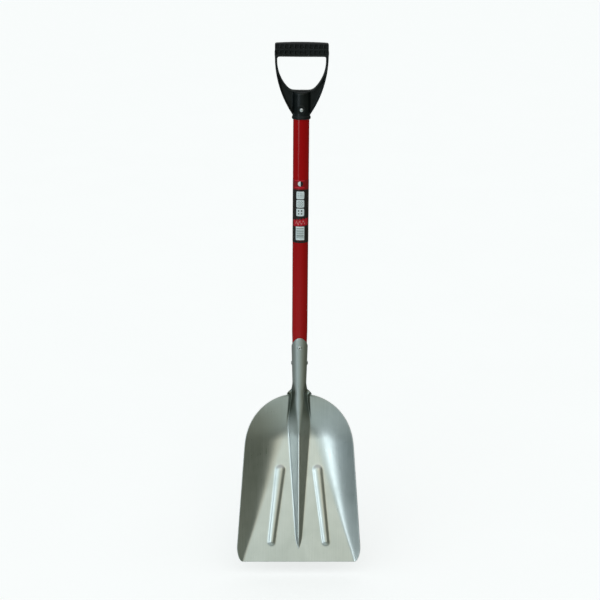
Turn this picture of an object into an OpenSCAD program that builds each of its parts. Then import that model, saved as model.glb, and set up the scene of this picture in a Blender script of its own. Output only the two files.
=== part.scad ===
// Grain scoop shovel: a pressed aluminium scoop with its socket rolled from the same sheet,
// a red tube shaft and a moulded D grip. Millimetres.
// The shaft's axis is Z. The scoop's open side faces -Y. The origin is on the underside of
// the grip's hand bar, where the shovel hangs from a hook.

/* [Grip] */
// Width across the grip
grip_w = 114; // [106:1:124]
// Height of the hand bar
bar_h = 30; // [26:1:34]
// Thickness of the hand bar, front to back
bar_t = 27; // [24:1:32]
// Height of the hand opening
opening_h = 71; // [60:1:76]
// Thickness of the two frame arms, front to back
arm_t = 21; // [16:1:24]
// Thickness of the web between the frame's flanges
web_t = 6; // [4:0.5:9]
// Width of a flange, seen from the front
flange_w = 3.2; // [2.5:0.1:4.5]
// Pockets across the hand bar
pocket_count = 11; // [5:1:11]
// Depth of a pocket
pocket_depth = 5; // [2:0.5:6]

/* [Shaft] */
// Outside diameter of the shaft
shaft_d = 35; // [32:0.5:36]
// Wall of the shaft tube
shaft_wall = 1.5; // [1:0.1:2.5]
// Height of the label round the shaft
label_h = 141; // [60:1:200]
// Distance from the hand bar down to the label
label_drop = 263; // [180:1:400]

/* [Scoop] */
// Width of the scoop at its front edge, without the corner rounding
scoop_w = 290; // [260:1:310]
// Length of the scoop's floor, from the shoulder to the front edge
scoop_l = 402; // [390:1:420]
// Greatest depth of the scoop
scoop_depth = 42; // [38:1:46]
// Thickness of the sheet
sheet_t = 2; // [1.5:0.1:2.5]
// Angle between the shaft and the scoop's floor
lift = 18; // [14:1:22]
// Height of the two pressed ribs beside the middle ridge
rib_h = 3.4; // [2:0.2:5]

/* [Hidden] */
$fn = 64;
eps = 0.01;

// heights along the shaft, from the origin down
collar_z = -132;        // lower end of the grip's socket
screw_z = -111;         // grip screw
shaft_top_z = -78;      // upper end of the shaft, inside the grip
tongue_z = -627;        // top of the scoop socket's tongue
mouth_z = -651;         // socket mouth at the sides and back
front_rivet_z = -650;
side_rivet_z = -692;
shaft_end_z = -736;     // lower end of the shaft, inside the socket
shoulder_z = -760;      // where the shaft's axis meets the top of the scoop's floor

// grip frame
arm_outer_r = 215;      // outer edge of the frame
opening_r = 80;         // side of the hand opening
opening_w = grip_w - 10;
opening_arc_z = -9;     // where the opening is widest
opening_corner = 5;
sleeve_r = shaft_d/2 + 1.4;
lip_r = sleeve_r + 1.4;
lip_h = 6;
boss_r = 9;
boss_out = 1.6;
bar_crown = 1.8;        // how much higher the hand bar is in the middle than at its ends
bar_crown_r = (pow(grip_w/2, 2) + bar_crown*bar_crown)/(2*bar_crown);
pocket_w = 7.2;
pocket_h = 8.4;
pocket_pitch = (grip_w - 11)/10;
pocket_rows = [bar_h/2 - 6.7, bar_h/2 + 6.2];

// socket: a cone rolled from the scoop's sheet
socket_r_mouth = shaft_d/2 + 1.1;
socket_r_neck = 16;
neck_v = -20;           // rows above this, measured along the floor, are the plain socket
open_v = 5;             // rows below this are the plain scoop
seam_angle = 172;       // half the sheet's wrap round the shaft
valley_angle = 95;      // the part of the half wrap that becomes the middle ridge

// scoop
axis_h = 36;            // height of the shaft's axis over the floor at the shoulder
side_flare = 0.073;     // how much each side widens along the floor
ear_slope = 0.52;       // how fast the sheet widens where it leaves the socket
ear_v = [-14.5, 7];
shoulder_v = [8.3, 132]; // stretch of the round shoulders
corner_r = 38;
back_v = 120;           // where the back's slope meets the flat floor
valley_depth = 9;       // of the channels beside the socket, at the shoulder
valley_end_v = 90;
ridge_start_h = 25;     // of the middle ridge, at the shoulder
ridge_slope_end_v = 440; // where its crest would meet the floor if it had no blunt nose
ridge_nose_v = [340, 368];
ridge_top_r = 3.8;
ridge_foot = 25.8;      // half width of the ridge where it is widest
ridge_taper = 0.0705;   // how much each side narrows along the ridge
rib_start = [43.8, 188]; // across and along the floor
rib_end = [63.6, 356];
rib_half_w = [12, 8.4];
floor_w = scoop_w - 30; // width of the flat floor at the front edge

// fasteners
rivet_d = 4.9;
rivet_head_d = 10;
rivet_head_h = 1.9;
mandrel_d = 2.7;
screw_d = 4.2;
screw_head_d = 7.6;
screw_head_h = 2.6;
screw_l = 15;
fit_gap = 0.1;

// ---- small helpers

function clamp01(t) = min(max(t, 0), 1);
function ease(t) = let (c = clamp01(t)) c*c*(3 - 2*c);
function mix(a, b, t) = a + (b - a)*t;
// the larger of two heights, with a fillet where they are within k of each other
function smooth_max(a, b, k) = max(a, b) + k/6*pow(max(1 - abs(a - b)/k, 0), 3);
// rises from 0 at s = 0, with a fillet of size k, to 1 at s = 1
function rise(s, k) = (sqrt(s*s + k*k) - k)/(sqrt(1 + k*k) - k);
function unit(a) = a/norm(a);

// ---- scoop surface: v runs along the floor, u across it and w up from it

// outside radius of the socket at a height
function socket_r(z) =
    mix(socket_r_mouth, socket_r_neck, (mouth_z - z)/(mouth_z - shoulder_z - 16));

// height of the shaft's axis over the floor
function axis_w(v) = axis_h - v*tan(lift);

// half width of the flat floor
function floor_edge(v) = floor_w/2*pow(max(v, 1)/scoop_l, 1.1);

// half width of the scoop at its rim, before the front corners are rounded
function rim_plain(v) =
    let (neck = socket_r_neck + ear_slope*min(max(v - ear_v[0], 0), ear_v[1] - ear_v[0]),
         t = clamp01(1 - (v - shoulder_v[0])/(shoulder_v[1] - shoulder_v[0])),
         straight = scoop_w/2 - side_flare*scoop_l,
         shoulder = straight*pow(1 - pow(t, 2.2), 0.46) + side_flare*v)
    smooth_max(neck, shoulder, 6);

// 1 along the sides, down to nearly 0 at the front edge
function corner(v) =
    let (t = clamp01((v - scoop_l + corner_r)/corner_r))
    max(sqrt(max(1 - t*t, 0)), 0.12);

function rim_edge(v) = mix(floor_edge(v), rim_plain(v), v > 200 ? corner(v) : 1);

// height of the rim over the floor: even at the back, then falling to the front edge
function rim_h(v) = scoop_depth*(1 - pow(max(v, 0)/(scoop_l + corner_r), 1.8))*corner(v);

// the pan without ridge and ribs
function pan_w(u, v) =
    let (foot = floor_edge(v),
         wall = max(u - foot, 0)/max(rim_edge(v) - foot, 1),
         side = rise(wall, mix(0.9, 0.25, clamp01((v - 120)/200))),
         back = rise(clamp01(1 - v/back_v), 0.8),
         bank = mix(18, 24.5, clamp01(v/valley_end_v)) + 8*(1 - ease(v/14)),
         channel = valley_depth*clamp01(1 - v/valley_end_v)*(1 - ease((u - bank)/6)))
    rim_h(v)*(1 - (1 - min(side, 1))*(1 - back)) - channel;

// 1 along the ridge, rounding down to 0 at its front end
function nose(v) =
    let (t = clamp01((v - ridge_nose_v[0])/(ridge_nose_v[1] - ridge_nose_v[0])))
    sqrt(max(1 - t*t, 0));

// height of the ridge's crest: it follows the socket, then falls evenly to the nose
function crest_w(v) =
    let (tube = axis_w(v) + socket_r_neck/cos(lift),
         even = ridge_start_h*(1 - v/ridge_slope_end_v))
    smooth_max(tube, even, 3)*nose(v);

// half width of the ridge at its foot: it spreads below the neck, then narrows evenly
function foot_u(v) =
    min(mix(17.5, ridge_foot, ease((v - 5)/75)), ridge_foot - ridge_taper*(v - 80))*max(nose(v), 0.02);

// a round top and straight flanks that end at the foot line
function ridge_w(u, v) =
    let (crest = crest_w(v),
         foot = foot_u(v),
         base = pan_w(foot, v),
         top_r = min(mix(socket_r_neck, ridge_top_r, ease(v/110)), max(crest - base, 0.02)*0.6),
         centre = crest - top_r - base,
         flank = min(atan2(centre, foot) + asin(min(top_r/norm([foot, centre]), 1)), 86),
         turn_u = top_r*sin(flank),
         drop = top_r - sqrt(max(top_r*top_r - pow(min(u, turn_u), 2), 0)))
    crest - drop - max(u - turn_u, 0)*tan(flank);

// one pressed rib, highest along the line from rib_start to rib_end
function rib_w(u, v) =
    let (along = rib_end - rib_start,
         t = clamp01(([u, v] - rib_start)*along/(along*along)),
         d = norm([u, v] - rib_start - t*along)/mix(rib_half_w[0], rib_half_w[1], t))
    smooth_max(rib_h*(1 - d*d), 0, 0.6);

function scoop_w_at(u, v) =
    let (crest = crest_w(v))
    crest <= 0
    ? pan_w(u, v)
    : smooth_max(pan_w(u, v), ridge_w(u, v), min(mix(1.5, 4, clamp01(v/90)), crest/2)) + rib_w(u, v);

// ---- grid lines across the sheet, from the middle to the rim

// columns between one line and the next: ridge, gap, rib, rib, floor, wall
columns = [7, 2, 3, 3, 3, 5];
column_ends = [for (k = 0, n = columns[0]; k < 6; k = k + 1, n = n + (k < 6 ? columns[k] : 0)) n];
half_columns = column_ends[5];

// where the lines of the rib and the wall's foot are, as fractions from ridge to rim
function line_fraction(v, k) =
    let (at = max(v, 175),
         t = (at - rib_start[1])/(rib_end[1] - rib_start[1]),
         middle = mix(rib_start[0], rib_end[0], t),
         half = mix(rib_half_w[0], rib_half_w[1], clamp01(t)),
         lines = [middle - half, middle, middle + half, floor_edge(at)],
         inner = ridge_line(at))
    (lines[k] - inner)/(rim_edge(at) - inner);

function ridge_line(v) = max(foot_u(v) + 2, 5);

function grid_line(v, k) =
    k == 0 ? ridge_line(v)
    : k == 5 ? rim_edge(v)
    : mix(ridge_line(v), rim_edge(v), line_fraction(v, k - 1));

// distance from the middle of column c, 0 to half_columns
function column_u(v, c) =
    c <= columns[0]
    ? grid_line(v, 0)*c/columns[0]
    : let (k = [for (i = [1:5]) if (c <= column_ends[i]) i][0])
      mix(grid_line(v, k - 1), grid_line(v, k), (c - column_ends[k - 1])/columns[k]);

// angle of column c round the socket, from the front
function column_angle(c) =
    c <= columns[0]
    ? valley_angle*c/columns[0]
    : mix(valley_angle, seam_angle, (c - columns[0])/(half_columns - columns[0]));

// ---- points of the sheet's upper face

// floor coordinates to the part's frame
function place(u, v, w) = [
    u,
    (axis_h - w)*cos(lift) - v*sin(lift),
    shoulder_z - (axis_h - w)*sin(lift) - v*cos(lift)];

// the plain socket: turn is the share of the row's tilt towards the scoop's rows
function socket_point(c, side, z, turn) =
    let (a = column_angle(c), r = socket_r(z))
    [side*r*sin(a), -r*cos(a), z + turn*r*cos(a)*tan(lift)];

// top of the socket: a round tongue in front, level at the sides and back
function mouth_top(c) =
    let (a = column_angle(c))
    a < 90 ? mix(mouth_z, tongue_z, pow(cos(a), 1.3)) : mouth_z;

function scoop_point(c, side, v) =
    let (u = column_u(v, c),
         w = scoop_w_at(u, v),
         open = ease((v - neck_v)/(open_v - neck_v)))
    open >= 1
    ? place(side*u, v, w)
    : let (a = column_angle(c),
           r = socket_r(shoulder_z - v/cos(lift)),
           rolled = [r*sin(a), r*cos(a)/cos(lift)],
           spread = [u, w - axis_w(v)],
           angle = mix(atan2(rolled[0], rolled[1]), atan2(spread[0], spread[1]), open),
           reach = mix(norm(rolled), norm(spread), open))
      place(side*reach*sin(angle), v, axis_w(v) + reach*cos(angle));

neck_z = shoulder_z - neck_v/cos(lift);
socket_rows = 4;
function socket_row_point(c, side, row) =
    let (t = row/socket_rows)
    socket_point(c, side, mix(mouth_top(c), neck_z, t), t);

// rows of the scoop, closer together where the sheet bends most
row_steps = [
    for (v = [neck_v:4:20]) v,
    for (v = [28:9:64]) v,
    for (v = [76:14:160]) v,
    for (v = [172:7:193]) v,
    for (v = [208:17:344]) v,
    for (v = [354:7:368]) v,
    for (k = [1:4]) mix(scoop_l - corner_r, scoop_l, sin(22.5*k))];

upper = [
    for (row = [0:socket_rows - 1])
        [for (c = [-half_columns:half_columns]) socket_row_point(abs(c), sign(c), row)],
    for (v = row_steps)
        [for (c = [-half_columns:half_columns]) scoop_point(abs(c), sign(c), v)]];

rows = len(upper);
cols = 2*half_columns + 1;

// the face below lies one sheet thickness along the face's normal
function normal_at(i, j) =
    let (across = upper[i][min(j + 1, cols - 1)] - upper[i][max(j - 1, 0)],
         along = upper[min(i + 1, rows - 1)][j] - upper[max(i - 1, 0)][j])
    unit(cross(across, along));
lower = [for (i = [0:rows - 1]) [for (j = [0:cols - 1]) upper[i][j] + sheet_t*normal_at(i, j)]];

function flat(grid) = [for (row = grid) each row];

module sheet() {
    below = rows*cols;
    function at(i, j) = i*cols + j;
    quads = [
        for (i = [0:rows - 2], j = [0:cols - 2])
            [at(i, j), at(i, j + 1), at(i + 1, j + 1), at(i + 1, j)],
        for (i = [0:rows - 2], j = [0:cols - 2])
            [at(i, j), at(i + 1, j), at(i + 1, j + 1), at(i, j + 1)] + below*[1, 1, 1, 1],
        for (j = [0:cols - 2])
            [at(0, j), at(0, j) + below, at(0, j + 1) + below, at(0, j + 1)],
        for (j = [0:cols - 2])
            [at(rows - 1, j), at(rows - 1, j + 1), at(rows - 1, j + 1) + below, at(rows - 1, j) + below],
        for (i = [0:rows - 2])
            [at(i, 0), at(i + 1, 0), at(i + 1, 0) + below, at(i, 0) + below],
        for (i = [0:rows - 2])
            [at(i, cols - 1), at(i, cols - 1) + below, at(i + 1, cols - 1) + below, at(i + 1, cols - 1)]];
    triangles = [for (q = quads) each [[q[0], q[1], q[2]], [q[0], q[2], q[3]]]];
    polyhedron(concat(flat(upper), flat(lower)), triangles);
}

// ---- pieces

// drills a hole from the shaft's axis outwards: 0 is the front, 90 the +X side
module radial(angle, z) {
    translate([0, 0, z]) rotate([0, 0, angle]) rotate([90, 0, 0]) children();
}

module scoop_blade() {
    color([0.72, 0.74, 0.72])
    difference() {
        sheet();
        radial(0, front_rivet_z) cylinder(d = rivet_d, h = shaft_d);
        for (side = [-90, 90])
            radial(side, side_rivet_z) cylinder(d = rivet_d, h = shaft_d);
    }
}

module shaft_tube() {
    fit_r = function(z) socket_r(z) - sheet_t - fit_gap;
    outline = [
        [shaft_d/2, shaft_top_z],
        [shaft_d/2, tongue_z + 30],
        [fit_r(tongue_z), tongue_z + 3],
        [fit_r(shaft_end_z), shaft_end_z]];
    color([0.6, 0.05, 0.07])
    difference() {
        rotate_extrude() polygon(concat(outline,
            [for (k = [3:-1:0]) outline[k] - [shaft_wall, 0]]));
        radial(0, screw_z) cylinder(d = screw_d, h = shaft_d);
        radial(0, front_rivet_z) cylinder(d = rivet_d, h = shaft_d);
        for (side = [-90, 90])
            radial(side, side_rivet_z) cylinder(d = rivet_d, h = shaft_d);
    }
}

// the frame's outside, a distance in from its edge
module frame_outline(inset) {
    centre = grip_w/2 - arm_outer_r;
    intersection() {
        translate([centre, 0]) circle(arm_outer_r - inset, $fn = 180);
        translate([-centre, 0]) circle(arm_outer_r - inset, $fn = 180);
        translate([-grip_w/2, collar_z + 4]) square([grip_w, bar_h/2 - collar_z - 4]);
    }
}

module round_corners(w, low, high, r) {
    translate([-w/2 + r, low]) square([w - 2*r, high - low]);
    translate([-w/2, low + r]) square([w, high - low - 2*r]);
    for (x = [-w/2 + r, w/2 - r], z = [low + r, high - r]) translate([x, z]) circle(r);
}

// the hand opening, a distance out from its edge
module opening_outline(outset) {
    centre = opening_w/2 - opening_r;
    intersection() {
        translate([centre, opening_arc_z]) circle(opening_r + outset, $fn = 120);
        translate([-centre, opening_arc_z]) circle(opening_r + outset, $fn = 120);
        round_corners(opening_w + 2*outset, -opening_h - outset, outset, opening_corner + outset);
    }
}

module upright(t) {
    rotate([90, 0, 0]) linear_extrude(t, center = true) children();
}

module frame() {
    upright(web_t) difference() {
        frame_outline(0);
        opening_outline(0);
    }
    upright(arm_t) difference() {
        frame_outline(0);
        frame_outline(flange_w);
        opening_outline(0);
    }
    upright(arm_t) difference() {
        intersection() {
            frame_outline(0);
            opening_outline(flange_w);
        }
        opening_outline(0);
    }
}

module hand_bar() {
    difference() {
        intersection() {
            rotate([90, 0, 90]) linear_extrude(grip_w, center = true)
                round_corners(bar_t, 0, bar_h, 9);
            translate([0, 0, bar_h - bar_crown_r]) upright(bar_t) circle(bar_crown_r, $fn = 360);
        }
        for (face = [-1, 1], z = pocket_rows, k = [0:pocket_count - 1])
            translate([(k - (pocket_count - 1)/2)*pocket_pitch, face*bar_t/2, z])
                cube([pocket_w, 2*pocket_depth, pocket_h], center = true);
    }
}

module d_grip() {
    lip_edge = 2;
    color([0.07, 0.08, 0.09])
    difference() {
        union() {
            hand_bar();
            frame();
            rotate_extrude() polygon([
                [0, -opening_h - 2],
                [sleeve_r - 4, -opening_h - 2],
                [sleeve_r, -opening_h - 6],
                [sleeve_r, collar_z + lip_h + 1],
                [lip_r, collar_z + lip_h - 2],
                [lip_r, collar_z + lip_edge],
                [lip_r - lip_edge/2, collar_z],
                [0, collar_z]]);
            radial(0, screw_z) cylinder(r = boss_r, h = sleeve_r + boss_out);
        }
        translate([0, 0, collar_z - 1]) cylinder(d = shaft_d, h = shaft_top_z - collar_z + 1);
        radial(0, screw_z) cylinder(d = screw_d, h = 2*shaft_d);
    }
}

module grip_screw() {
    seat = sleeve_r + boss_out;
    color([0.82, 0.83, 0.84])
    difference() {
        radial(0, screw_z) rotate_extrude() polygon([
            [0, seat - screw_l],
            [screw_d/2 - 1.2, seat - screw_l + 2],
            [screw_d/2, seat - screw_l + 4],
            [screw_d/2, seat],
            [screw_head_d/2, seat],
            [screw_head_d/2, seat + screw_head_h*0.4],
            [screw_head_d/2 - 1.3, seat + screw_head_h*0.85],
            [0, seat + screw_head_h]]);
        for (turn = [45, 135])
            radial(0, screw_z) rotate([0, 0, turn])
                translate([0, 0, seat + screw_head_h]) cube([4.4, 1, 2.4], center = true);
    }
}

// a blind rivet along Z, its head seated at the given radius
module blind_rivet(seat) {
    grip_l = sheet_t + shaft_wall + fit_gap;
    rotate_extrude() polygon([
        [mandrel_d/2, seat + rivet_head_h - 0.3],
        [mandrel_d/2 + 0.9, seat + rivet_head_h],
        [rivet_head_d/2 - 1.8, seat + rivet_head_h*0.8],
        [rivet_head_d/2, seat + 0.3],
        [rivet_head_d/2, seat],
        [rivet_d/2, seat],
        [rivet_d/2, seat - grip_l],
        [rivet_d/2 + 1.1, seat - grip_l - 1.2],
        [rivet_d/2 + 0.6, seat - grip_l - 3.6],
        [mandrel_d/2, seat - grip_l - 4.2]]);
}

module mandrel(seat) {
    grip_l = sheet_t + shaft_wall + fit_gap;
    rotate_extrude() polygon([
        [0, seat + rivet_head_h - 0.9],
        [mandrel_d/2, seat + rivet_head_h - 1.1],
        [mandrel_d/2, seat - grip_l - 4.2],
        [mandrel_d/2 + 0.9, seat - grip_l - 4.2],
        [mandrel_d/2 + 0.9, seat - grip_l - 5.6],
        [0, seat - grip_l - 6.2]]);
}

// distance from the axis to the seat of a rivet head, clear of the round sheet
function rivet_seat(z) = socket_r(z) - fit_gap;

module socket_front_rivet() {
    color([0.75, 0.76, 0.76])
    radial(0, front_rivet_z) blind_rivet(rivet_seat(front_rivet_z));
}

module socket_side_rivets() {
    color([0.75, 0.76, 0.76])
    for (side = [-90, 90])
        radial(side, side_rivet_z) blind_rivet(rivet_seat(side_rivet_z));
}

module rivet_mandrels() {
    color([0.4, 0.4, 0.41]) {
        radial(0, front_rivet_z) mandrel(rivet_seat(front_rivet_z));
        for (side = [-90, 90])
            radial(side, side_rivet_z) mandrel(rivet_seat(side_rivet_z));
    }
}

module shaft_label() {
    label_t = 0.2;
    seam_w = 3;
    color([0.1, 0.1, 0.1])
    translate([0, 0, -label_drop - label_h]) difference() {
        cylinder(d = shaft_d + 2*label_t, h = label_h);
        translate([0, 0, -eps]) cylinder(d = shaft_d, h = label_h + 2*eps);
        translate([-seam_w/2, 0, -eps]) cube([seam_w, shaft_d, label_h + 2*eps]);
    }
}

scoop_blade();
shaft_tube();
d_grip();
grip_screw();
socket_front_rivet();
socket_side_rivets();
rivet_mandrels();
shaft_label();
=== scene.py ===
"""Grain scoop shovel: the looks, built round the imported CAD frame.

The scoop, grip, shaft and label are rebuilt here as fine meshes. They follow the same rules as
the CAD parts that they replace. The screw, the rivets and their mandrels stay as CAD nodes and
get better materials. Shapes are worked out in millimetres and scaled to metres once.
"""

import math

import bmesh
import bpy
import numpy as np
from mathutils import Matrix, Vector


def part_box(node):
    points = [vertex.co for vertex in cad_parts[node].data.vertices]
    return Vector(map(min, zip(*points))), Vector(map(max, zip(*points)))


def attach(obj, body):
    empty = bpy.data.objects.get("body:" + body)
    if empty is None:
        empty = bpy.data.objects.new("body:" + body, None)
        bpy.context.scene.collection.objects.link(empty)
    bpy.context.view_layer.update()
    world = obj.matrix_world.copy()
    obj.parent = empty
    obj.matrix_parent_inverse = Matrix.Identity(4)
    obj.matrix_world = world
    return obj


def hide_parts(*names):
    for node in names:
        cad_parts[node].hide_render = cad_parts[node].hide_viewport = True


MM = 0.001
BODY = "root"

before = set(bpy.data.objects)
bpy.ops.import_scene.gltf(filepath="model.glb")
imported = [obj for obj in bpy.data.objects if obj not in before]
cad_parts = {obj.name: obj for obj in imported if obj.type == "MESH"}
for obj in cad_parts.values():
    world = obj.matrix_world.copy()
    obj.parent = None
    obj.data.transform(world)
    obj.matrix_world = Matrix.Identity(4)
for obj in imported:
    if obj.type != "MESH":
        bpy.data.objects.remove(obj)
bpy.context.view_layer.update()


def node_box(name):
    """A CAD node's lowest and highest corners, in millimetres."""
    low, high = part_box(name)
    return np.array(low) / MM, np.array(high) / MM


# ---------------------------------------------------------------- sizes, in millimetres

grip_low, grip_high = node_box("d_grip")
shaft_low, shaft_high = node_box("shaft_tube")
scoop_low, scoop_high = node_box("scoop_blade")
label_low, label_high = node_box("shaft_label")
screw_low, screw_high = node_box("grip_screw")

SHAFT_R = shaft_high[0]
GRIP_HALF = grip_high[0]
BAR_H = grip_high[2]
SCREW_Z = (screw_low[2] + screw_high[2]) / 2

# scoop sheet, as in the CAD part
LIFT = math.radians(18)
SHEET_T = 2.0
AXIS_H = 36.0
SHOULDER_Z = -760.0
SCOOP_W = 290.0
SCOOP_L = 402.0
SCOOP_DEPTH = 42.0
FLOOR_W = SCOOP_W - 30
FLOOR_POWER = 1.1               # 1 would widen the floor evenly
SIDE_FLARE = 0.073
EAR_SLOPE = 0.52
EAR_V = (-14.5, 7.0)
EAR_FILLET = 6.0
SHOULDER_V = (8.3, 132.0)
SHOULDER_POWERS = (2.2, 0.46)
CORNER_R = 38.0
CORNER_LOW = 0.12               # what is left of the rim's height at the front corners
RIM_FALL_POWER = 1.8
WALL_FILLET = (0.9, 0.25)       # fillet of the side walls, at the two stations below
WALL_FILLET_V = (120.0, 320.0)
BACK_V = 120.0
BACK_FILLET = 0.8
VALLEY_DEPTH = 9.0
VALLEY_END_V = 90.0
VALLEY_HALF_W = (18.0, 24.5)    # at the shoulder and where the channels end
VALLEY_BANK_W = 6.0
NECK_WIDER = 8.0                # how much wider the channels get at the neck
NECK_WIDER_V = 14.0
RIDGE_SLOPE_END_V = 440.0
RIDGE_FOOT_NECK = 17.5
RIDGE_FOOT = 25.8
RIDGE_FOOT_V = (5.0, 80.0)
RIDGE_TAPER = 0.0705
RIDGE_START_H = 25.0
RIDGE_CREST_FILLET = 3.0
RIDGE_NOSE_V = (340.0, 368.0)
RIDGE_TOP_R = 3.8
RIDGE_TOP_V = 110.0             # where the top has come down to that radius
RIDGE_FILLET = (1.5, 4.0)
RIDGE_STEEPEST = math.radians(86)
RIB_H = 3.4
RIB_START = np.array((43.8, 188.0))
RIB_END = np.array((63.6, 356.0))
RIB_HALF_W = (12.0, 8.4)
RIB_FILLET = 0.6
NECK_V = -20.0
OPEN_V = 5.0
# painted shade: dark colour that stands in for the shade on the ridge's flanks and in the channels
# beside the socket
PAINTED_SHADE_START_V = (NECK_V - 4, NECK_V + 10)
PAINTED_SHADE_END_V = (42.0, 90.0)
PAINTED_SHADE_INNER = 0.45              # where it begins, as a share of the radius of the ridge's top
PAINTED_SHADE_PAST_FOOT = 2.0
PAINTED_SHADE_NECK_WIDER = 12.0
PAINTED_SHADE_SOFT = (5.0, 3.5)         # widths of its soft inner and outer edges
SEAM_ANGLE = math.radians(172)
VALLEY_ANGLE = math.radians(95)
MOUTH_Z = -651.0
TONGUE_Z = scoop_high[2]
SOCKET_R_MOUTH = SHAFT_R + 1.1
SOCKET_R_NECK = 16.0


# ---------------------------------------------------------------- small helpers

def clamp01(t):
    return np.clip(t, 0.0, 1.0)


def ease(t):
    """0 up to t = 0 and 1 from t = 1, with a smooth step between."""
    t = clamp01(t)
    return t * t * (3 - 2 * t)


def mix(a, b, t):
    return a + (b - a) * t


def part_of(v, span):
    """How far v is along a span: 0 at its start, 1 at its end."""
    return (v - span[0]) / (span[1] - span[0])


def smooth_max(a, b, k):
    """The larger of two values, with a fillet where they are within k of each other."""
    return np.maximum(a, b) + k / 6 * np.maximum(1 - np.abs(a - b) / k, 0) ** 3


def smooth_min(a, b, k):
    """The smaller of two values, with a fillet where they are within k of each other."""
    return -smooth_max(-a, -b, k)


def rise(s, k):
    """Rises from 0 at s = 0, with a fillet of size k, to 1 at s = 1."""
    return (np.sqrt(s * s + k * k) - k) / (np.sqrt(1 + k * k) - k)


def make_object(name, points, faces, material, replaced):
    """A smooth-shaded mesh piece from points in millimetres, riding on the shovel's body."""
    mesh = bpy.data.meshes.new(name)
    mesh.from_pydata([tuple(p) for p in np.asarray(points) * MM], [], faces)
    piece = bpy.data.objects.new(name, mesh)
    bpy.context.scene.collection.objects.link(piece)
    for polygon in mesh.polygons:
        polygon.use_smooth = True
    mesh.materials.append(material)
    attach(piece, BODY)
    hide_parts(replaced)
    return piece


def loop_faces(rows, cols):
    """Quads between rows of points, where each row is a closed loop."""
    return [
        (i * cols + j, i * cols + (j + 1) % cols, (i + 1) * cols + (j + 1) % cols, (i + 1) * cols + j)
        for i in range(rows - 1)
        for j in range(cols)
    ]


def store(piece, name, kind, field, values):
    """Keeps a value for each of the piece's points, for its material to read."""
    attribute = piece.data.attributes.new(name, kind, "POINT")
    attribute.data.foreach_set(field, values.reshape(-1).astype(np.float32))


def weld(piece):
    """Joins doubled points and turns the faces outwards."""
    mesh = bmesh.new()
    mesh.from_mesh(piece.data)
    bmesh.ops.remove_doubles(mesh, verts=mesh.verts, dist=1e-6)
    bmesh.ops.recalc_face_normals(mesh, faces=mesh.faces)
    mesh.to_mesh(piece.data)
    mesh.free()


# ---------------------------------------------------------------- materials

class Nodes:
    """A short way to write a node tree."""

    def __init__(self, tree):
        self.tree = tree

    def node(self, kind, **values):
        made = self.tree.nodes.new(kind)
        for key, value in values.items():
            setattr(made, key, value)
        return made

    def link(self, source, target):
        self.tree.links.new(source, target)

    def fill(self, sockets, values):
        """Gives each socket its value: a constant, or another node's output."""
        for socket, value in zip(sockets, values):
            if isinstance(value, (int, float, tuple)):
                socket.default_value = value
            else:
                self.link(value, socket)

    def named(self, made, **values):
        """Fills a node's inputs by name."""
        self.fill([made.inputs[key.replace("_", " ")] for key in values], values.values())

    def coords(self):
        return self.node("ShaderNodeTexCoord").outputs["Object"]

    def attribute(self, name):
        return self.node("ShaderNodeAttribute", attribute_name=name)

    def scaled(self, vector, scale):
        made = self.node("ShaderNodeMapping")
        self.named(made, Vector=vector, Scale=scale)
        return made.outputs["Vector"]

    def noise(self, vector, scale, detail=4.0, rough=0.55, distortion=0.0):
        made = self.node("ShaderNodeTexNoise")
        self.named(made, Vector=vector, Scale=scale, Detail=detail)
        self.named(made, Roughness=rough, Distortion=distortion)
        return made.outputs["Fac"]

    def to_range(self, value, low, high, out_low=0.0, out_high=1.0, **settings):
        made = self.node("ShaderNodeMapRange", **settings)
        self.named(made, Value=value, From_Min=low, From_Max=high, To_Min=out_low, To_Max=out_high)
        return made.outputs["Result"]

    def math(self, operation, *values):
        made = self.node("ShaderNodeMath", operation=operation)
        self.fill(made.inputs, values)
        return made.outputs["Value"]

    def blend(self, factor, first, second):
        """A mix of two colours, which are at 6 and 7 among the Mix node's inputs."""
        made = self.node("ShaderNodeMix", data_type="RGBA")
        self.fill((made.inputs[0], made.inputs[6], made.inputs[7]), (factor, first, second))
        return made.outputs[2]

    def bump(self, height, strength, distance, **inputs):
        made = self.node("ShaderNodeBump")
        self.named(made, Height=height, Strength=strength, Distance=distance, **inputs)
        return made.outputs["Normal"]


class Material(Nodes):
    """A material with one Principled shader."""

    def __init__(self, name):
        self.material = bpy.data.materials.new(name)
        self.material.use_nodes = True
        super().__init__(self.material.node_tree)

    def set(self, **values):
        self.named(self.tree.nodes["Principled BSDF"], **values)


def sheet_material():
    """Rolled aluminium: streaks along the sheet, soft stains, fine scratches, and painted shade that
    darkens the ridge's flanks and the channels beside the socket.
    """
    m = Material("rolled_aluminium")
    flow = m.attribute("flow").outputs["Vector"]
    place = m.coords()
    streaks = m.noise(m.scaled(flow, (900, 9, 1)), 1.0, 5.0, 0.6)
    fine = m.noise(m.scaled(flow, (3500, 40, 1)), 1.0, 3.0, 0.5)
    stains = m.noise(place, 14.0, 5.0, 0.55, 0.4)
    handling = m.noise(place, 60.0, 4.0, 0.6, 0.8)
    marks = m.math("ADD", m.math("MULTIPLY", streaks, 0.5), m.math("MULTIPLY", stains, 0.5))
    wear = m.math("ADD", m.math("MULTIPLY", handling, 0.4), m.math("MULTIPLY", streaks, 0.6))
    clean = m.blend(m.to_range(marks, 0.35, 0.68), (0.56, 0.575, 0.545, 1), (0.70, 0.705, 0.68, 1))
    patchy = m.to_range(stains, 0.3, 0.7, 0.68, 0.9)
    # painted shade: the base colour turns dark grey where the channels and the ridge's flanks lie in
    # shade, broken up by the stains
    painted_shade = m.math("MULTIPLY", m.attribute("painted_shade").outputs["Fac"], patchy)
    m.set(
        Base_Color=m.blend(painted_shade, clean, (0.15, 0.17, 0.14, 1)),
        Metallic=1.0,
        Roughness=m.to_range(wear, 0.35, 0.7, 0.27, 0.38),
        Normal=m.bump(fine, 0.12, 0.0002, Normal=m.bump(streaks, 0.10, 0.0004)),
    )
    return m.material


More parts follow.
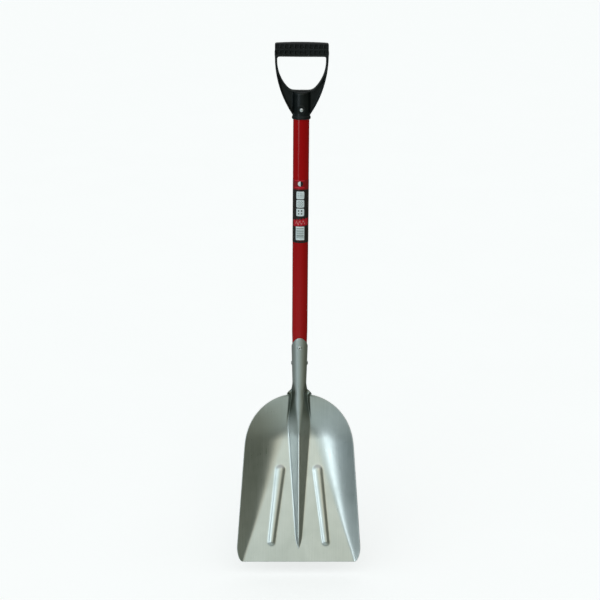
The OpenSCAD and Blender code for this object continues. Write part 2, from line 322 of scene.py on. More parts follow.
def paint_material():
    """Glossy red coating with a faint orange peel and a few dull patches."""
    m = Material("red_coating")
    place = m.coords()
    peel = m.noise(place, 420.0, 2.0)
    patches = m.noise(m.scaled(place, (30, 30, 6)), 1.0, 4.0)
    scuffs = m.noise(m.scaled(place, (260, 260, 20)), 1.0, 6.0, 0.7)
    faded = m.to_range(patches, 0.3, 0.7)
    m.set(
        Base_Color=m.blend(faded, (0.42, 0.002, 0.003, 1), (0.48, 0.003, 0.004, 1)),
        Roughness=m.to_range(scuffs, 0.35, 0.75, 0.22, 0.36),
        Normal=m.bump(peel, 0.015, 0.0003),
        Specular_IOR_Level=0.0,
        Coat_Weight=0.6,
        Coat_Roughness=0.09,
    )
    return m.material


def grip_material():
    """Black moulded plastic with a fine spark-eroded grain."""
    m = Material("black_plastic")
    place = m.coords()
    grain = m.noise(place, 1400.0, 3.0, 0.6)
    wear = m.noise(place, 45.0, 5.0, 0.6, 0.5)
    rubbed = m.to_range(wear, 0.35, 0.7)
    m.set(
        Base_Color=m.blend(rubbed, (0.0035, 0.005, 0.005, 1), (0.0075, 0.010, 0.010, 1)),
        Roughness=m.to_range(wear, 0.3, 0.7, 0.27, 0.38),
        Normal=m.bump(grain, 0.1, 0.0002),
        Specular_IOR_Level=0.3,
    )
    return m.material


def metal_material(name, colour, dark, roughness, grain_scale):
    """A small metal fastener with slight tarnish and turning marks."""
    m = Material(name)
    place = m.coords()
    tarnish = m.noise(place, grain_scale, 5.0, 0.6)
    marks = m.noise(place, grain_scale * 6, 2.0)
    m.set(
        Base_Color=m.blend(m.to_range(tarnish, 0.35, 0.7), dark, colour),
        Metallic=1.0,
        Roughness=m.to_range(tarnish, 0.3, 0.7, roughness, roughness + 0.14),
        Normal=m.bump(marks, 0.15, 0.0001),
    )
    return m.material


def label_material():
    """Printed film: its colours come with the mesh, under a glossy laminate."""
    m = Material("label_print")
    place = m.coords()
    ink = m.attribute("ink").outputs["Color"]
    fade = m.noise(place, 160.0, 4.0)
    worn = m.noise(m.scaled(place, (300, 300, 60)), 1.0, 5.0, 0.7)
    m.set(
        Base_Color=m.blend(m.to_range(fade, 0.3, 0.75, 0.0, 0.14), ink, (0.12, 0.12, 0.115, 1)),
        Roughness=m.to_range(worn, 0.35, 0.7, 0.26, 0.4),
        Normal=m.bump(worn, 0.05, 0.0002),
        Specular_IOR_Level=0.15,
        Coat_Weight=0.2,
        Coat_Roughness=0.12,
    )
    return m.material


# ---------------------------------------------------------------- scoop

def socket_r(z):
    """Outer radius of the tapered socket."""
    return mix(SOCKET_R_MOUTH, SOCKET_R_NECK, (MOUTH_Z - z) / (MOUTH_Z - SHOULDER_Z - 16))


def axis_w(v):
    """Height of the shaft's axis over the floor."""
    return AXIS_H - v * math.tan(LIFT)


def floor_edge(v):
    """Half width of the flat floor, which widens almost evenly to the front edge."""
    return FLOOR_W / 2 * (np.maximum(v, 1) / SCOOP_L) ** FLOOR_POWER


def rim_plain(v):
    """Half width of the rim before the front corners are rounded: neck, ear, shoulder, side."""
    neck = SOCKET_R_NECK + EAR_SLOPE * np.clip(v - EAR_V[0], 0, EAR_V[1] - EAR_V[0])
    t = clamp01(1 - (v - SHOULDER_V[0]) / (SHOULDER_V[1] - SHOULDER_V[0]))
    straight = SCOOP_W / 2 - SIDE_FLARE * SCOOP_L
    shoulder = straight * (1 - t ** SHOULDER_POWERS[0]) ** SHOULDER_POWERS[1] + SIDE_FLARE * v
    return smooth_max(neck, shoulder, EAR_FILLET)


def corner(v):
    """1 along the sides, down to nearly 0 at the front edge."""
    t = clamp01((v - SCOOP_L + CORNER_R) / CORNER_R)
    return np.maximum(np.sqrt(np.maximum(1 - t * t, 0)), CORNER_LOW)


def rim_edge(v):
    """Half width of the rim."""
    in_front = v > SCOOP_L / 2
    return np.where(in_front, mix(floor_edge(v), rim_plain(v), corner(v)), rim_plain(v))


def rim_h(v):
    """Height of the rim over the floor: even at the back, then falling to the front edge."""
    return SCOOP_DEPTH * (1 - (np.maximum(v, 0) / (SCOOP_L + CORNER_R)) ** RIM_FALL_POWER) * corner(v)


def pan_w(u, v):
    """Height of the pan over the floor, without ridge and ribs."""
    foot = floor_edge(v)
    wall = np.maximum(u - foot, 0) / np.maximum(rim_edge(v) - foot, 1)
    side = rise(wall, mix(*WALL_FILLET, clamp01(part_of(v, WALL_FILLET_V))))
    back = rise(clamp01(1 - v / BACK_V), BACK_FILLET)
    bank = mix(*VALLEY_HALF_W, clamp01(v / VALLEY_END_V)) + NECK_WIDER * (1 - ease(v / NECK_WIDER_V))
    channel = VALLEY_DEPTH * clamp01(1 - v / VALLEY_END_V) * (1 - ease((u - bank) / VALLEY_BANK_W))
    return rim_h(v) * (1 - (1 - np.minimum(side, 1)) * (1 - back)) - channel


def nose(v):
    """1 along the ridge, rounding down to 0 at its front end."""
    t = clamp01(part_of(v, RIDGE_NOSE_V))
    return np.sqrt(np.maximum(1 - t * t, 0))


def crest_w(v):
    """Height of the ridge's crest: it follows the socket, then falls evenly to a blunt nose."""
    tube = axis_w(v) + SOCKET_R_NECK / math.cos(LIFT)
    even = RIDGE_START_H * (1 - v / RIDGE_SLOPE_END_V)
    return smooth_max(tube, even, RIDGE_CREST_FILLET) * nose(v)


def foot_u(v):
    """Half width of the ridge at its foot: it spreads below the neck, then narrows evenly."""
    spread = mix(RIDGE_FOOT_NECK, RIDGE_FOOT, ease(part_of(v, RIDGE_FOOT_V)))
    narrowing = RIDGE_FOOT - RIDGE_TAPER * (v - RIDGE_FOOT_V[1])
    return np.minimum(spread, narrowing) * np.maximum(nose(v), 0.02)


def ridge_top_r(v):
    """Radius of the ridge's rounded top: the socket's at the neck, then sharper."""
    return mix(SOCKET_R_NECK, RIDGE_TOP_R, ease(v / RIDGE_TOP_V))


def ridge_w(u, v):
    """A round top and straight flanks that end at the foot line."""
    crest, foot = crest_w(v), foot_u(v)
    base = pan_w(foot, v)
    top_r = np.minimum(ridge_top_r(v), np.maximum(crest - base, 0.02) * 0.6)
    centre = crest - top_r - base
    flank = np.arctan2(centre, foot) + np.arcsin(np.minimum(top_r / np.hypot(foot, centre), 1))
    flank = np.minimum(flank, RIDGE_STEEPEST)
    turn_u = top_r * np.sin(flank)
    on_top = np.minimum(u, turn_u)
    drop = top_r - np.sqrt(np.maximum(top_r ** 2 - on_top ** 2, 0))
    return crest - drop - np.maximum(u - turn_u, 0) * np.tan(flank)


def rib_w(u, v):
    """Height of a side rib over the floor: a parabola across, round ends."""
    along = RIB_END - RIB_START
    t = clamp01(((u - RIB_START[0]) * along[0] + (v - RIB_START[1]) * along[1]) / (along @ along))
    off = np.hypot(u - RIB_START[0] - t * along[0], v - RIB_START[1] - t * along[1])
    off = off / mix(*RIB_HALF_W, t)
    return smooth_max(RIB_H * (1 - off * off), 0.0, RIB_FILLET)


def scoop_w(u, v):
    """Height of the sheet's upper face over the floor."""
    crest = crest_w(v)
    pan = pan_w(u, v)
    fillet = np.minimum(mix(*RIDGE_FILLET, clamp01(v / VALLEY_END_V)), crest / 2)
    fillet = np.maximum(fillet, 1e-6)
    return np.where(crest <= 0, pan, smooth_max(pan, ridge_w(u, v), fillet) + rib_w(u, v))


def place_uvw(u, v, w):
    """Floor coordinates (across, along, up) to the shovel's frame."""
    y = (AXIS_H - w) * math.cos(LIFT) - v * math.sin(LIFT)
    z = SHOULDER_Z - (AXIS_H - w) * math.sin(LIFT) - v * math.cos(LIFT)
    return np.stack(np.broadcast_arrays(u, y, z), -1)


RIDGE_SHARE = 0.3       # share of the half sheet's columns that lies on the ridge


def across(share, v):
    """Distance from the middle at a share, 0 to 1, of the way to the rim."""
    ridge = np.maximum(foot_u(v) + 2, 5)
    outer = clamp01((share - RIDGE_SHARE) / (1 - RIDGE_SHARE))
    return np.where(share <= RIDGE_SHARE, ridge * share / RIDGE_SHARE, mix(ridge, rim_edge(v), outer))


def wrap_angle(share):
    """Angle round the socket, from the front, at a share of the half sheet."""
    outer = clamp01((share - RIDGE_SHARE) / (1 - RIDGE_SHARE))
    inner = VALLEY_ANGLE * share / RIDGE_SHARE
    return np.where(share <= RIDGE_SHARE, inner, mix(VALLEY_ANGLE, SEAM_ANGLE, outer))


def scoop_rows(share, side, v):
    """Points of the scoop's upper face, unrolled from the socket near the neck."""
    u = across(share, v)
    w = scoop_w(u, v)
    opened = ease((v - NECK_V) / (OPEN_V - NECK_V))
    a = wrap_angle(share)
    r = socket_r(SHOULDER_Z - v / math.cos(LIFT))
    rolled = (r * np.sin(a), r * np.cos(a) / math.cos(LIFT))
    spread = (u, w - axis_w(v))
    angle = mix(np.arctan2(*rolled), np.arctan2(*spread), opened)
    reach = mix(np.hypot(*rolled), np.hypot(*spread), opened)
    return place_uvw(side * reach * np.sin(angle), v, axis_w(v) + reach * np.cos(angle))


def socket_rows(share, side, t):
    """Points of the socket's outer face, from its mouth at t = 0 to the neck at t = 1."""
    a = wrap_angle(share)
    rise_share = np.where(a < math.pi / 2, np.maximum(np.cos(a), 0) ** 1.3, 0)
    top = mix(MOUTH_Z, TONGUE_Z, rise_share)
    z = mix(top, SHOULDER_Z - NECK_V / math.cos(LIFT), t)
    r = socket_r(z)
    return np.stack((side * r * np.sin(a), -r * np.cos(a), z + t * r * np.cos(a) * math.tan(LIFT)), -1)


def unit(vectors):
    return vectors / np.maximum(np.linalg.norm(vectors, axis=-1, keepdims=True), 1e-12)


def sheet_points(upper, thickness, edge_steps=4):
    """Closed loops round a sheet: upper face, half-round edge, lower face, half-round edge."""
    along = np.gradient(upper, axis=0)
    over = np.gradient(upper, axis=1)
    down = unit(np.cross(over, along))
    middle = upper + down * thickness / 2
    half = thickness / 2
    turns = np.linspace(0, math.pi, 2 * edge_steps + 1)[1:-1]

    def edge(column, outward):
        return [
            middle[:, column] + half * (outward * math.sin(a) - down[:, column] * math.cos(a))
            for a in turns
        ]

    right = edge(-1, unit(over[:, -1]))
    left = edge(0, -unit(over[:, 0]))
    lower = upper + down * thickness
    loops = np.concatenate([
        upper,
        np.stack(right, 1),
        lower[:, ::-1],
        np.stack(left[::-1], 1)], axis=1)
    centre = np.concatenate([
        middle,
        np.repeat(middle[:, -1:], len(right), 1),
        middle[:, ::-1],
        np.repeat(middle[:, :1], len(left), 1)], axis=1)

    def cap(row, outward):
        return [
            centre[row] + (loops[row] - centre[row]) * math.cos(a) + outward * half * math.sin(a)
            for a in np.linspace(0, math.pi / 2, edge_steps + 1)[1:]
        ]

    def spread_out(vectors):
        return np.concatenate([
            vectors,
            np.repeat(vectors[-1:], len(right), 0),
            vectors[::-1],
            np.repeat(vectors[:1], len(left), 0)])

    first = cap(0, spread_out(-unit(along[0])))
    last = cap(-1, spread_out(unit(along[-1])))
    return np.concatenate([np.stack(first[::-1]), loops, np.stack(last)])


def painted_shade_at(share, v):
    """How much painted shade darkens the ridge's flanks and the channels beside the socket, where
    shade falls.
    """
    u = across(share, v)
    inner = PAINTED_SHADE_INNER * ridge_top_r(v)
    outer = foot_u(v) + PAINTED_SHADE_PAST_FOOT + PAINTED_SHADE_NECK_WIDER * (1 - ease(v / NECK_WIDER_V))
    along = ease(part_of(v, PAINTED_SHADE_START_V)) * (1 - ease(part_of(v, PAINTED_SHADE_END_V)))
    return along * ease((u - inner) / PAINTED_SHADE_SOFT[0]) * (1 - ease((u - outer) / PAINTED_SHADE_SOFT[1]))


def scoop_piece(material):
    """The scoop and its socket: one closed sheet from the socket's mouth to the front edge."""
    half_count = 78
    columns = np.linspace(-1, 1, 2 * half_count + 1)
    share = np.abs(columns)
    side = np.sign(columns)
    stations = np.concatenate([
        np.arange(NECK_V, 30, 1.2),
        np.arange(30, SCOOP_L - CORNER_R, 2.2),
        mix(SCOOP_L - CORNER_R, SCOOP_L, np.sin(np.linspace(0, math.pi / 2, 20)))])
    socket = [socket_rows(share, side, t) for t in np.linspace(0, 1, 46)[:-1]]
    scoop = [scoop_rows(share, side, v) for v in stations]
    upper = np.stack(socket + scoop)
    points = sheet_points(upper, SHEET_T)
    rows, cols = points.shape[:2]
    piece = make_object(
        "scoop_sheet", points.reshape(-1, 3), loop_faces(rows, cols), material, "scoop_blade")
    # distance across and along the sheet, in metres, for the streaks of the rolled metal
    steps = np.linalg.norm(np.diff(points[:, half_count], axis=0), axis=1)
    run = np.concatenate([[0], np.cumsum(steps)])
    flow = np.zeros((rows, cols, 3))
    flow[..., 0] = points[..., 0] * MM
    flow[..., 1] = run[:, None] * MM
    store(piece, "flow", "FLOAT_VECTOR", "vector", flow)
    # painted shade on the scoop's upper face and its edges, not on the socket or the lower face
    first = (rows - len(upper)) // 2 + len(socket)
    last = first + len(stations)
    upper_count = len(columns)
    edge_count = cols // 2 - upper_count
    painted_shade = np.zeros((rows, cols))
    painted_shade[first:last, :upper_count] = [painted_shade_at(share, v) for v in stations]
    painted_shade[first:last, upper_count:upper_count + edge_count] = painted_shade[first:last, :1]
    painted_shade[first:last, cols - edge_count:] = painted_shade[first:last, :1]
    store(piece, "painted_shade", "FLOAT", "value", painted_shade)
    weld(piece)


# ---------------------------------------------------------------- grip, from a distance field

ARM_R = 215.0
OPENING_R = 80.0
OPENING_HALF = GRIP_HALF - 5
OPENING_H = 71.0
OPENING_ARC_Z = -9.0
ARM_HALF_T = 10.5
ARM_THICKER = 2.2               # how much the arms thicken towards the bar
ARM_THICKER_Z = (-26.0, 4.0)
FRAME_Z = (5.0, 10.0)           # its ends: above the collar's lower end, and up in the bar
WEB_HALF_T = 3.0
FLANGE_W = 3.2
BAR_HALF_T = 13.5
BAR_CORNER = 9.0
BAR_CROWN = 1.8
BAR_SAG = 1.4
POCKET_COUNT = 11
POCKET_PITCH = 10.3
POCKET_HALF = (3.6, 4.2)
POCKET_ROWS = (8.3, 21.2)
POCKET_DEPTH = 5.0
POCKET_DRAFT = 0.07
SLEEVE_R = SHAFT_R + 1.4
LIP_R = SLEEVE_R + 1.4
LIP_H = 6.5
BOSS_R = 9.0
BOSS_OUT = 1.6
SLEEVE_DROP = 2.5               # the sleeve's top is this far below the hand opening
COLLAR_Z = grip_low[2]


def hand_bar_field(x, y, z):
    """The hand bar: flat faces, rounded edges, a slight barrel shape, and two rows of pockets."""
    out = (x / GRIP_HALF) ** 2
    top = BAR_H - BAR_CROWN * out
    bottom = BAR_SAG * out
    middle = (top + bottom) / 2
    qy = np.abs(y) - (BAR_HALF_T - BAR_CORNER)
    qz = np.abs(z - middle) - ((top - bottom) / 2 - BAR_CORNER)
    beyond = np.hypot(np.maximum(qy, 0), np.maximum(qz, 0))
    section = beyond + np.minimum(np.maximum(qy, qz), 0) - BAR_CORNER
    bar = smooth_max(section, np.abs(x) - GRIP_HALF, 5.0)
    reach = (POCKET_COUNT - 1) // 2
    index = np.clip(np.round(x / POCKET_PITCH), -reach, reach)
    low_row, high_row = POCKET_ROWS
    row = np.minimum(np.abs(z - low_row - bottom / 2), np.abs(z - high_row))
    draft = POCKET_DRAFT * (BAR_HALF_T - np.abs(y))
    pocket = smooth_max(np.abs(x - index * POCKET_PITCH) - POCKET_HALF[0] + draft,
                        row - POCKET_HALF[1] + draft, 1.6)
    pocket = smooth_max(pocket, BAR_HALF_T - POCKET_DEPTH - np.abs(y), 1.2)
    return smooth_max(bar, -pocket, 0.8)


def frame_field(x, y, z):
    """The frame below the bar: a thin web with flanges round its outside and the hand opening."""
    centre = GRIP_HALF - ARM_R
    outline = np.hypot(np.abs(x) - centre, z) - ARM_R
    hollow_centre = OPENING_HALF - OPENING_R
    hollow = np.hypot(np.abs(x) - hollow_centre, z - OPENING_ARC_Z) - OPENING_R
    hollow = smooth_max(hollow, -OPENING_H - z, 9.0)
    hollow = smooth_max(hollow, z, 7.0)
    solid = np.maximum(outline, -hollow)
    half_t = ARM_HALF_T + ARM_THICKER * ease(part_of(z, ARM_THICKER_Z))
    plate = smooth_max(solid, np.abs(y) - half_t, 2.6)
    plate = smooth_max(plate, COLLAR_Z + FRAME_Z[0] - z, 2.0)
    plate = np.maximum(plate, z - FRAME_Z[1])
    recess = smooth_max(np.maximum(outline + FLANGE_W, FLANGE_W - hollow), WEB_HALF_T - np.abs(y), 3.0)
    return smooth_max(plate, -recess, 1.4)


def sleeve_field(x, y, z):
    """The grip's socket, with a bead round its mouth and a boss for the screw."""
    r = np.hypot(x, y)
    sleeve = smooth_max(smooth_max(r - SLEEVE_R, z + OPENING_H + SLEEVE_DROP, 8.0), COLLAR_Z - z, 0.8)
    lip_middle = COLLAR_Z + LIP_H / 2
    lip = smooth_max(r - LIP_R, np.abs(z - lip_middle) - LIP_H / 2, 3.0)
    boss = smooth_max(np.hypot(x, z - SCREW_Z) - BOSS_R, -y - SLEEVE_R - BOSS_OUT, 1.2)
    boss = np.maximum(boss, y)
    return smooth_min(smooth_min(sleeve, lip, 1.2), boss, 1.0)


def grip_field(x, y, z):
    """Distance to the grip's surface, below 0 inside the plastic."""
    body = smooth_min(hand_bar_field(x, y, z), frame_field(x, y, z), 4.0)
    body = smooth_min(body, sleeve_field(x, y, z), 3.0)
    bore = np.maximum(np.hypot(x, y) - SHAFT_R, z - shaft_high[2])
    return np.maximum(body, -bore)


def surface_net(field, low, high, pitch):
    """Points and quads of the field's zero surface, one point in each cell that it crosses."""
    axes = [np.arange(a - 1.5 * pitch, b + 2.5 * pitch, pitch) for a, b in zip(low, high)]
    x, y, z = np.meshgrid(*axes, indexing="ij")
    values = field(x, y, z)
    inside = values < 0
    shape = tuple(n - 1 for n in values.shape)
    total = np.zeros(shape + (3,))
    count = np.zeros(shape)
    corner_offsets = [(i, j, k) for i in (0, 1) for j in (0, 1) for k in (0, 1)]

    def corner(grid, offset):
        return grid[tuple(slice(o, o + n) for o, n in zip(offset, shape))]

    for first in corner_offsets:
        for axis in range(3):
            if first[axis]:
                continue
            second = tuple(o + (n == axis) for n, o in enumerate(first))
            a, b = corner(values, first), corner(values, second)
            crossed = (a < 0) != (b < 0)
            t = np.where(crossed, a / np.where(crossed, a - b, 1), 0)
            for n in range(3):
                total[..., n] += crossed * (first[n] + (t if n == axis else 0))
            count += crossed
    used = count > 0
    cells = np.argwhere(used)
    points = (cells + total[used] / count[used][:, None]) * pitch + [a[0] for a in axes]
    number = -np.ones(shape, int)
    number[used] = np.arange(len(points))
    quads = []
    for axis in range(3):
        others = [n for n in range(3) if n != axis]
        a = np.take(inside, range(inside.shape[axis] - 1), axis)
        b = np.take(inside, range(1, inside.shape[axis]), axis)
        for start in np.argwhere(a != b):
            ring = []
            for d0, d1 in ((0, 0), (1, 0), (1, 1), (0, 1)):
                cell = start.copy()
                cell[others[0]] -= d0
                cell[others[1]] -= d1
                ring.append(int(number[tuple(cell)]))
            quads.append(tuple(ring))
    return points, quads


def settle(points, field, steps=3, probe=0.02):
    """Moves points onto the field's zero surface."""
    for _ in range(steps):
        value = field(*points.T)
        slope = np.stack([
            (field(*(points + probe * axis).T) - field(*(points - probe * axis).T)) / (2 * probe)
            for axis in np.eye(3)], -1)
        points = points - slope * (value / np.maximum((slope ** 2).sum(1), 1e-6))[:, None]
    return points


def grip_piece(material):
    """The grip: one skin over its distance field."""
    points, quads = surface_net(grip_field, grip_low, grip_high, pitch=0.8)
    piece = make_object("grip_moulding", settle(points, grip_field), quads, material, "d_grip")
    weld(piece)


# ---------------------------------------------------------------- shaft and label

def shaft_piece(material):
    """The coated tube, turned from its outline: straight, then tapered inside the scoop's socket."""
    wall = 1.5
    fit = 0.1
    edge_round = 0.5
    taper_l = 30
    steps = 128
    taper_top = TONGUE_Z + taper_l
    z = np.concatenate([
        [shaft_high[2]],
        np.linspace(shaft_high[2] - 1, taper_top, 40),
        np.linspace(taper_top - 2, TONGUE_Z + 2, 14),
        np.linspace(TONGUE_Z, shaft_low[2] + 1, 14),
        [shaft_low[2]]])
    in_socket = socket_r(z) - SHEET_T - fit
    radius = np.where(z > TONGUE_Z, mix(in_socket, SHAFT_R, ease((z - TONGUE_Z) / taper_l)), in_socket)
    radius[0] -= edge_round
    radius[-1] -= edge_round
    outer = list(zip(radius, z))
    outline = outer + [(r - wall, h) for r, h in outer[::-1]]
    turn = np.linspace(0, 2 * math.pi, steps, endpoint=False)
    points = [(r * math.sin(a), -r * math.cos(a), h) for r, h in outline for a in turn]
    points += points[:steps]
    faces = loop_faces(len(outline) + 1, steps)
    piece = make_object("shaft_coated_tube", points, faces, material, "shaft_tube")
    weld(piece)


def label_ink(s, t):
    """Colours of the label's print at s mm round from its middle and t mm below its top edge."""
    black = np.array((0.021, 0.014, 0.012))
    red = np.array((0.32, 0.006, 0.008))
    bright_red = np.array((0.75, 0.012, 0.03))
    pink = np.array((0.80, 0.30, 0.30))
    white = np.array((0.88, 0.94, 0.96))
    grey = np.array((0.45, 0.52, 0.50))
    ink = np.broadcast_to(black, s.shape + (3,)).copy()

    def paint(where, colour):
        ink[where] = colour

    def box(s0, s1, t0, t1):
        return (s > s0) & (s < s1) & (t > t0) & (t < t1)

    def tile(s_mid, t_mid, half_s, half_t, corner_r):
        """A rectangle with rounded corners."""
        off_s = np.maximum(np.abs(s - s_mid) - half_s + corner_r, 0)
        off_t = np.maximum(np.abs(t - t_mid) - half_t + corner_r, 0)
        return np.hypot(off_s, off_t) < corner_r

    # red field with two bright lines and a plain two-tone disc
    paint(t < 21.5, red)
    paint(box(-15, 8, 0.4, 2.7), bright_red)
    paint(box(-15, 8, 15.4, 18.4), bright_red)
    disc = np.hypot(s + 0.9, (t - 8.4) * 1.05) < 5.8
    paint(disc & (s < -0.9), white)
    paint(disc & (s >= -0.9), black)
    # three pale tiles, each with a simple pattern of its own
    for n, t_mid in enumerate((33.8, 52.6, 71.8)):
        paint(tile(-1.3, t_mid, 8.8, 8.4, 2.2), white)
        local_s, local_t = s + 1.3, t - t_mid
        near = (np.abs(local_s) < 6.8) & (np.abs(local_t) < 6.4)
        if n == 0:
            dots = np.hypot((local_s + 1.8) % 3.6 - 1.8, (local_t + 1.75) % 3.5 - 1.75) < 0.8
            paint(near & dots, grey * 0.4)
        elif n == 1:
            rising = np.abs((local_s + local_t) % 5.0 - 2.5)
            falling = np.abs((local_s - local_t) % 5.0 - 2.5)
            paint(near & (np.minimum(rising, falling) < 0.4), grey * 0.4)
        else:
            off_centre = np.maximum(np.abs(np.abs(local_s) - 3.2), np.abs(np.abs(local_t) - 3.2))
            paint(off_centre < 1.5, black)
    # a slanting red brush stroke with a lighter ripple through it
    ragged = 1.3 * np.sin(s * 0.9) + 0.8 * np.sin(s * 2.3 + 1) - 0.12 * s
    paint((t > 87.5 + ragged) & (t < 102.5 + 0.7 * ragged) & (np.abs(s) < 19), bright_red * 0.8)
    paint((np.abs(t - 95 - 2.2 * np.sin(s * 0.8) - ragged) < 1.1) & (np.abs(s + 1) < 11), pink)
    # a pale block of plain bars
    paint(tile(-1.2, 119.2, 9.8, 15.2, 0.8), white)
    for n in range(9):
        top = 107.8 + 2.6 * n
        thick = (1.3, 0.7, 1.6, 0.9)[n % 4]
        paint(box(-9.4, 6.8, top, top + thick), (grey * 0.3, grey * 0.7, grey * 0.45)[n % 3])
    for n in range(6):
        paint(box(-9.5 + 3.1 * n, -7.4 + 3.1 * n, 135.2, 137.6), red * 0.6 if n % 2 else black)
    return ink


def label_piece(material):
    """The printed film, wrapped nearly all the way round the shaft."""
    thickness = 0.16
    glue = 0.02
    half_angle = math.radians(175)
    turn = np.linspace(-half_angle, half_angle, 280)
    drop = np.linspace(0, label_high[2] - label_low[2], 360)
    a, t = np.meshgrid(turn, drop)
    r = SHAFT_R + thickness + glue
    upper = np.stack((r * np.sin(a), -r * np.cos(a), label_high[2] - t), -1)
    points = sheet_points(upper, thickness, edge_steps=1)
    faces = loop_faces(*points.shape[:2])
    flat = points.reshape(-1, 3)
    piece = make_object("label_film", flat, faces, material, "shaft_label")
    ink = label_ink(SHAFT_R * np.arctan2(flat[:, 0], -flat[:, 1]), label_high[2] - flat[:, 2])
    store(piece, "ink", "FLOAT_COLOR", "color", np.c_[ink, np.ones(len(ink))])
    weld(piece)


# ---------------------------------------------------------------- camera, light and floor

# light from the walls and the ground, by degrees to the right of the front
WALL_LIGHT = (
    (-180, (0.17, 0.18, 0.17)),
    (-122, (0.16, 0.18, 0.17)),
    (-100, (0.17, 0.21, 0.23)),
    (-88, (0.19, 0.27, 0.31)),
    (-76, (0.27, 0.41, 0.48)),
    (-52, (0.50, 0.66, 0.72)),
    (-20, (1.20, 1.42, 1.41)),
    (0, (1.04, 1.15, 1.05)),
    (20, (1.26, 1.26, 1.05)),
    (33, (0.27, 0.29, 0.23)),
    (48, (0.12, 0.135, 0.10)),
    (110, (0.10, 0.115, 0.085)),
    (180, (0.17, 0.18, 0.17)),
)
SKYLINE_LIGHT = (
    (-180, (0.12, 0.13, 0.12)),
    (-60, (0.11, 0.145, 0.155)),
    (-10, (0.10, 0.13, 0.125)),
    (25, (0.085, 0.11, 0.10)),
    (50, (0.09, 0.105, 0.08)),
    (180, (0.12, 0.13, 0.12)),
)
GROUND_LIGHT = (
    (-180, (0.18, 0.20, 0.18)),
    (-110, (0.22, 0.25, 0.25)),
    (-80, (0.27, 0.32, 0.31)),
    (-40, (0.43, 0.53, 0.55)),
    (-5, (0.48, 0.59, 0.58)),
    (30, (0.31, 0.36, 0.32)),
    (60, (0.205, 0.225, 0.18)),
    (85, (0.13, 0.145, 0.115)),
    (110, (0.10, 0.115, 0.085)),
    (180, (0.18, 0.20, 0.18)),
)
NEAR_GROUND = (0.46, 0.54, 0.51)
OVERHEAD = (0.60, 0.63, 0.63)
# heights in degrees: each light is unseen at the first and has taken over at the second
NEAR_GROUND_FADE = (-34.0, -48.0)
SKYLINE_FADE = (-20.0, -11.0)
WALL_FADE = (-7.0, 12.0)
OVERHEAD_FADE = (16.0, 45.0)
WINDOW = (-36.0, 0.5, 7.5, 10.0)        # direction, height, half width, half height in degrees
WINDOW_LIGHT = (2.9, 3.4, 3.65)


def add_camera():
    """The camera at the angle of the photo."""
    data = bpy.data.cameras.new("camera")
    data.lens = 69.0
    data.sensor_width = 36.0
    distance = 2.6
    camera = bpy.data.objects.new("camera", data)
    bpy.context.scene.collection.objects.link(camera)
    target = Vector((0.0001, 0, -0.541))
    azimuth, elevation, roll = (math.radians(a) for a in (-0.8, 17.0, 0.42))
    away = Vector((
        math.sin(azimuth) * math.cos(elevation),
        -math.cos(azimuth) * math.cos(elevation),
        math.sin(elevation)))
    camera.location = target + distance * away
    turned = (-away).to_track_quat("-Z", "Y").to_matrix() @ Matrix.Rotation(roll, 3, "Z")
    camera.rotation_euler = turned.to_euler()
    bpy.context.scene.camera = camera


def add_world():
    """A soft studio: bright in front and on the left, dim on the right and behind."""
    world = bpy.data.worlds.new("studio")
    bpy.context.scene.world = world
    world.use_nodes = True
    n = Nodes(world.node_tree)
    direction = n.node("ShaderNodeSeparateXYZ")
    n.link(n.node("ShaderNodeTexCoord").outputs["Generated"], direction.inputs["Vector"])
    x, y, z = direction.outputs
    degrees = n.math("DEGREES", n.math("ARCTAN2", x, n.math("MULTIPLY", y, -1.0)))
    turn = n.math("ADD", n.math("DIVIDE", degrees, 360.0), 0.5)
    height = n.math("DEGREES", n.math("ARCSINE", z))

    def fade(value, low, high):
        """0 at low to 1 at high, eased."""
        return n.to_range(value, low, high, interpolation_type="SMOOTHSTEP")

    def around(stops):
        """A colour for each direction round the shovel, in degrees to the right of the front."""
        made = n.node("ShaderNodeValToRGB")
        made.color_ramp.interpolation = "EASE"
        elements = made.color_ramp.elements
        for index, (stop, colour) in enumerate(stops):
            place = stop / 360 + 0.5
            element = elements[index] if index < 2 else elements.new(place)
            element.position = place
            element.color = colour + (1,)
        n.link(turn, made.inputs["Fac"])
        return made.outputs["Color"]

    def inside(value, centre, half_size, soft):
        """1 near the centre, 0 outside, over a soft edge on both sides of half_size."""
        off = n.math("ABSOLUTE", n.math("SUBTRACT", value, centre))
        return fade(off, half_size + soft, half_size - soft)

    light = around(GROUND_LIGHT)
    light = n.blend(fade(height, *NEAR_GROUND_FADE), light, NEAR_GROUND + (1,))
    light = n.blend(fade(height, *SKYLINE_FADE), light, around(SKYLINE_LIGHT))
    light = n.blend(fade(height, *WALL_FADE), light, around(WALL_LIGHT))
    light = n.blend(fade(height, *OVERHEAD_FADE), light, OVERHEAD + (1,))
    across_window = inside(degrees, WINDOW[0], WINDOW[2], 7)
    up_window = inside(height, WINDOW[1], WINDOW[3], 5)
    light = n.blend(n.math("MULTIPLY", across_window, up_window), light, WINDOW_LIGHT + (1,))
    n.named(world.node_tree.nodes["Background"], Color=light, Strength=1.0)


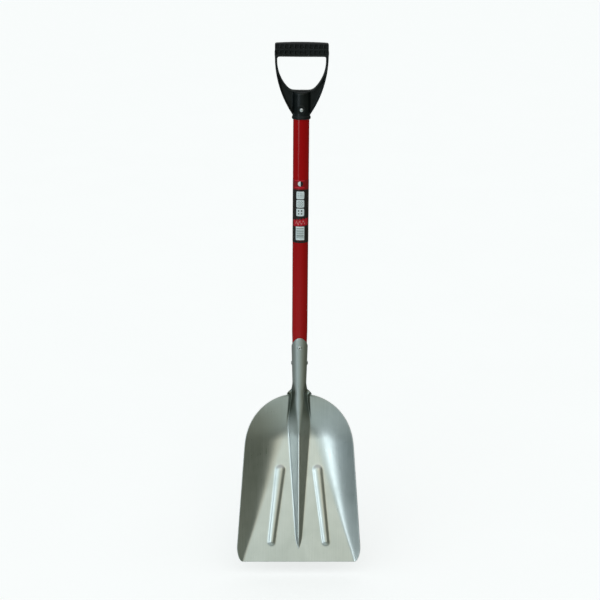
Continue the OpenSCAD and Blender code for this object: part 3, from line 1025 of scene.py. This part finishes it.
def add_floor(level):
    """A pale floor that reaches far beyond the shovel, with pale walls at its ends."""
    mesh = bpy.data.meshes.new("floor")
    half = 60.0
    wall_h = 20.0
    corners = ((-half, -half), (half, -half), (half, half), (-half, half))
    points = [(x, y, z) for z in (level, level + wall_h) for x, y in corners]
    walls = [(n, (n + 1) % 4, (n + 1) % 4 + 4, n + 4) for n in range(4)]
    mesh.from_pydata(points, [], [(0, 1, 2, 3)] + walls)
    floor = bpy.data.objects.new("floor", mesh)
    bpy.context.scene.collection.objects.link(floor)
    m = Material("pale_floor")
    mottle = m.noise(m.coords(), 3.0, 3.0)
    m.set(
        Base_Color=m.blend(mottle, (0.82, 0.82, 0.82, 1), (0.85, 0.85, 0.85, 1)),
        Roughness=0.9,
        Specular_IOR_Level=0.1,
        Emission_Color=(1.0, 1.0, 1.0, 1),
        Emission_Strength=0.5,
    )
    mesh.materials.append(m.material)
    # the shovel is lit by the studio all round it, not by the floor
    floor.visible_glossy = False
    floor.visible_diffuse = False
    floor.visible_shadow = False


# ---------------------------------------------------------------- put together

def set_material(node, material):
    """Gives a CAD node that is kept as it is a better material."""
    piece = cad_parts[node]
    piece.data.materials.clear()
    piece.data.materials.append(material)


add_camera()
scoop_piece(sheet_material())
grip_piece(grip_material())
shaft_piece(paint_material())
label_piece(label_material())

rivet_metal = metal_material(
    "rivet_aluminium", (0.72, 0.73, 0.72, 1), (0.55, 0.56, 0.55, 1), 0.28, 300.0)
mandrel_metal = metal_material(
    "mandrel_steel", (0.045, 0.04, 0.035, 1), (0.02, 0.018, 0.016, 1), 0.55, 500.0)
screw_metal = metal_material(
    "zinc_screw", (0.86, 0.87, 0.88, 1), (0.7, 0.71, 0.72, 1), 0.2, 400.0)
set_material("socket_front_rivet", rivet_metal)
set_material("socket_side_rivets", rivet_metal)
set_material("rivet_mandrels", mandrel_metal)
set_material("grip_screw", screw_metal)

add_world()
floor_gap = 0.03                        # the shovel hangs this far above the floor
add_floor(scoop_low[2] * MM - floor_gap)
bpy.context.scene.view_settings.view_transform = "Standard"
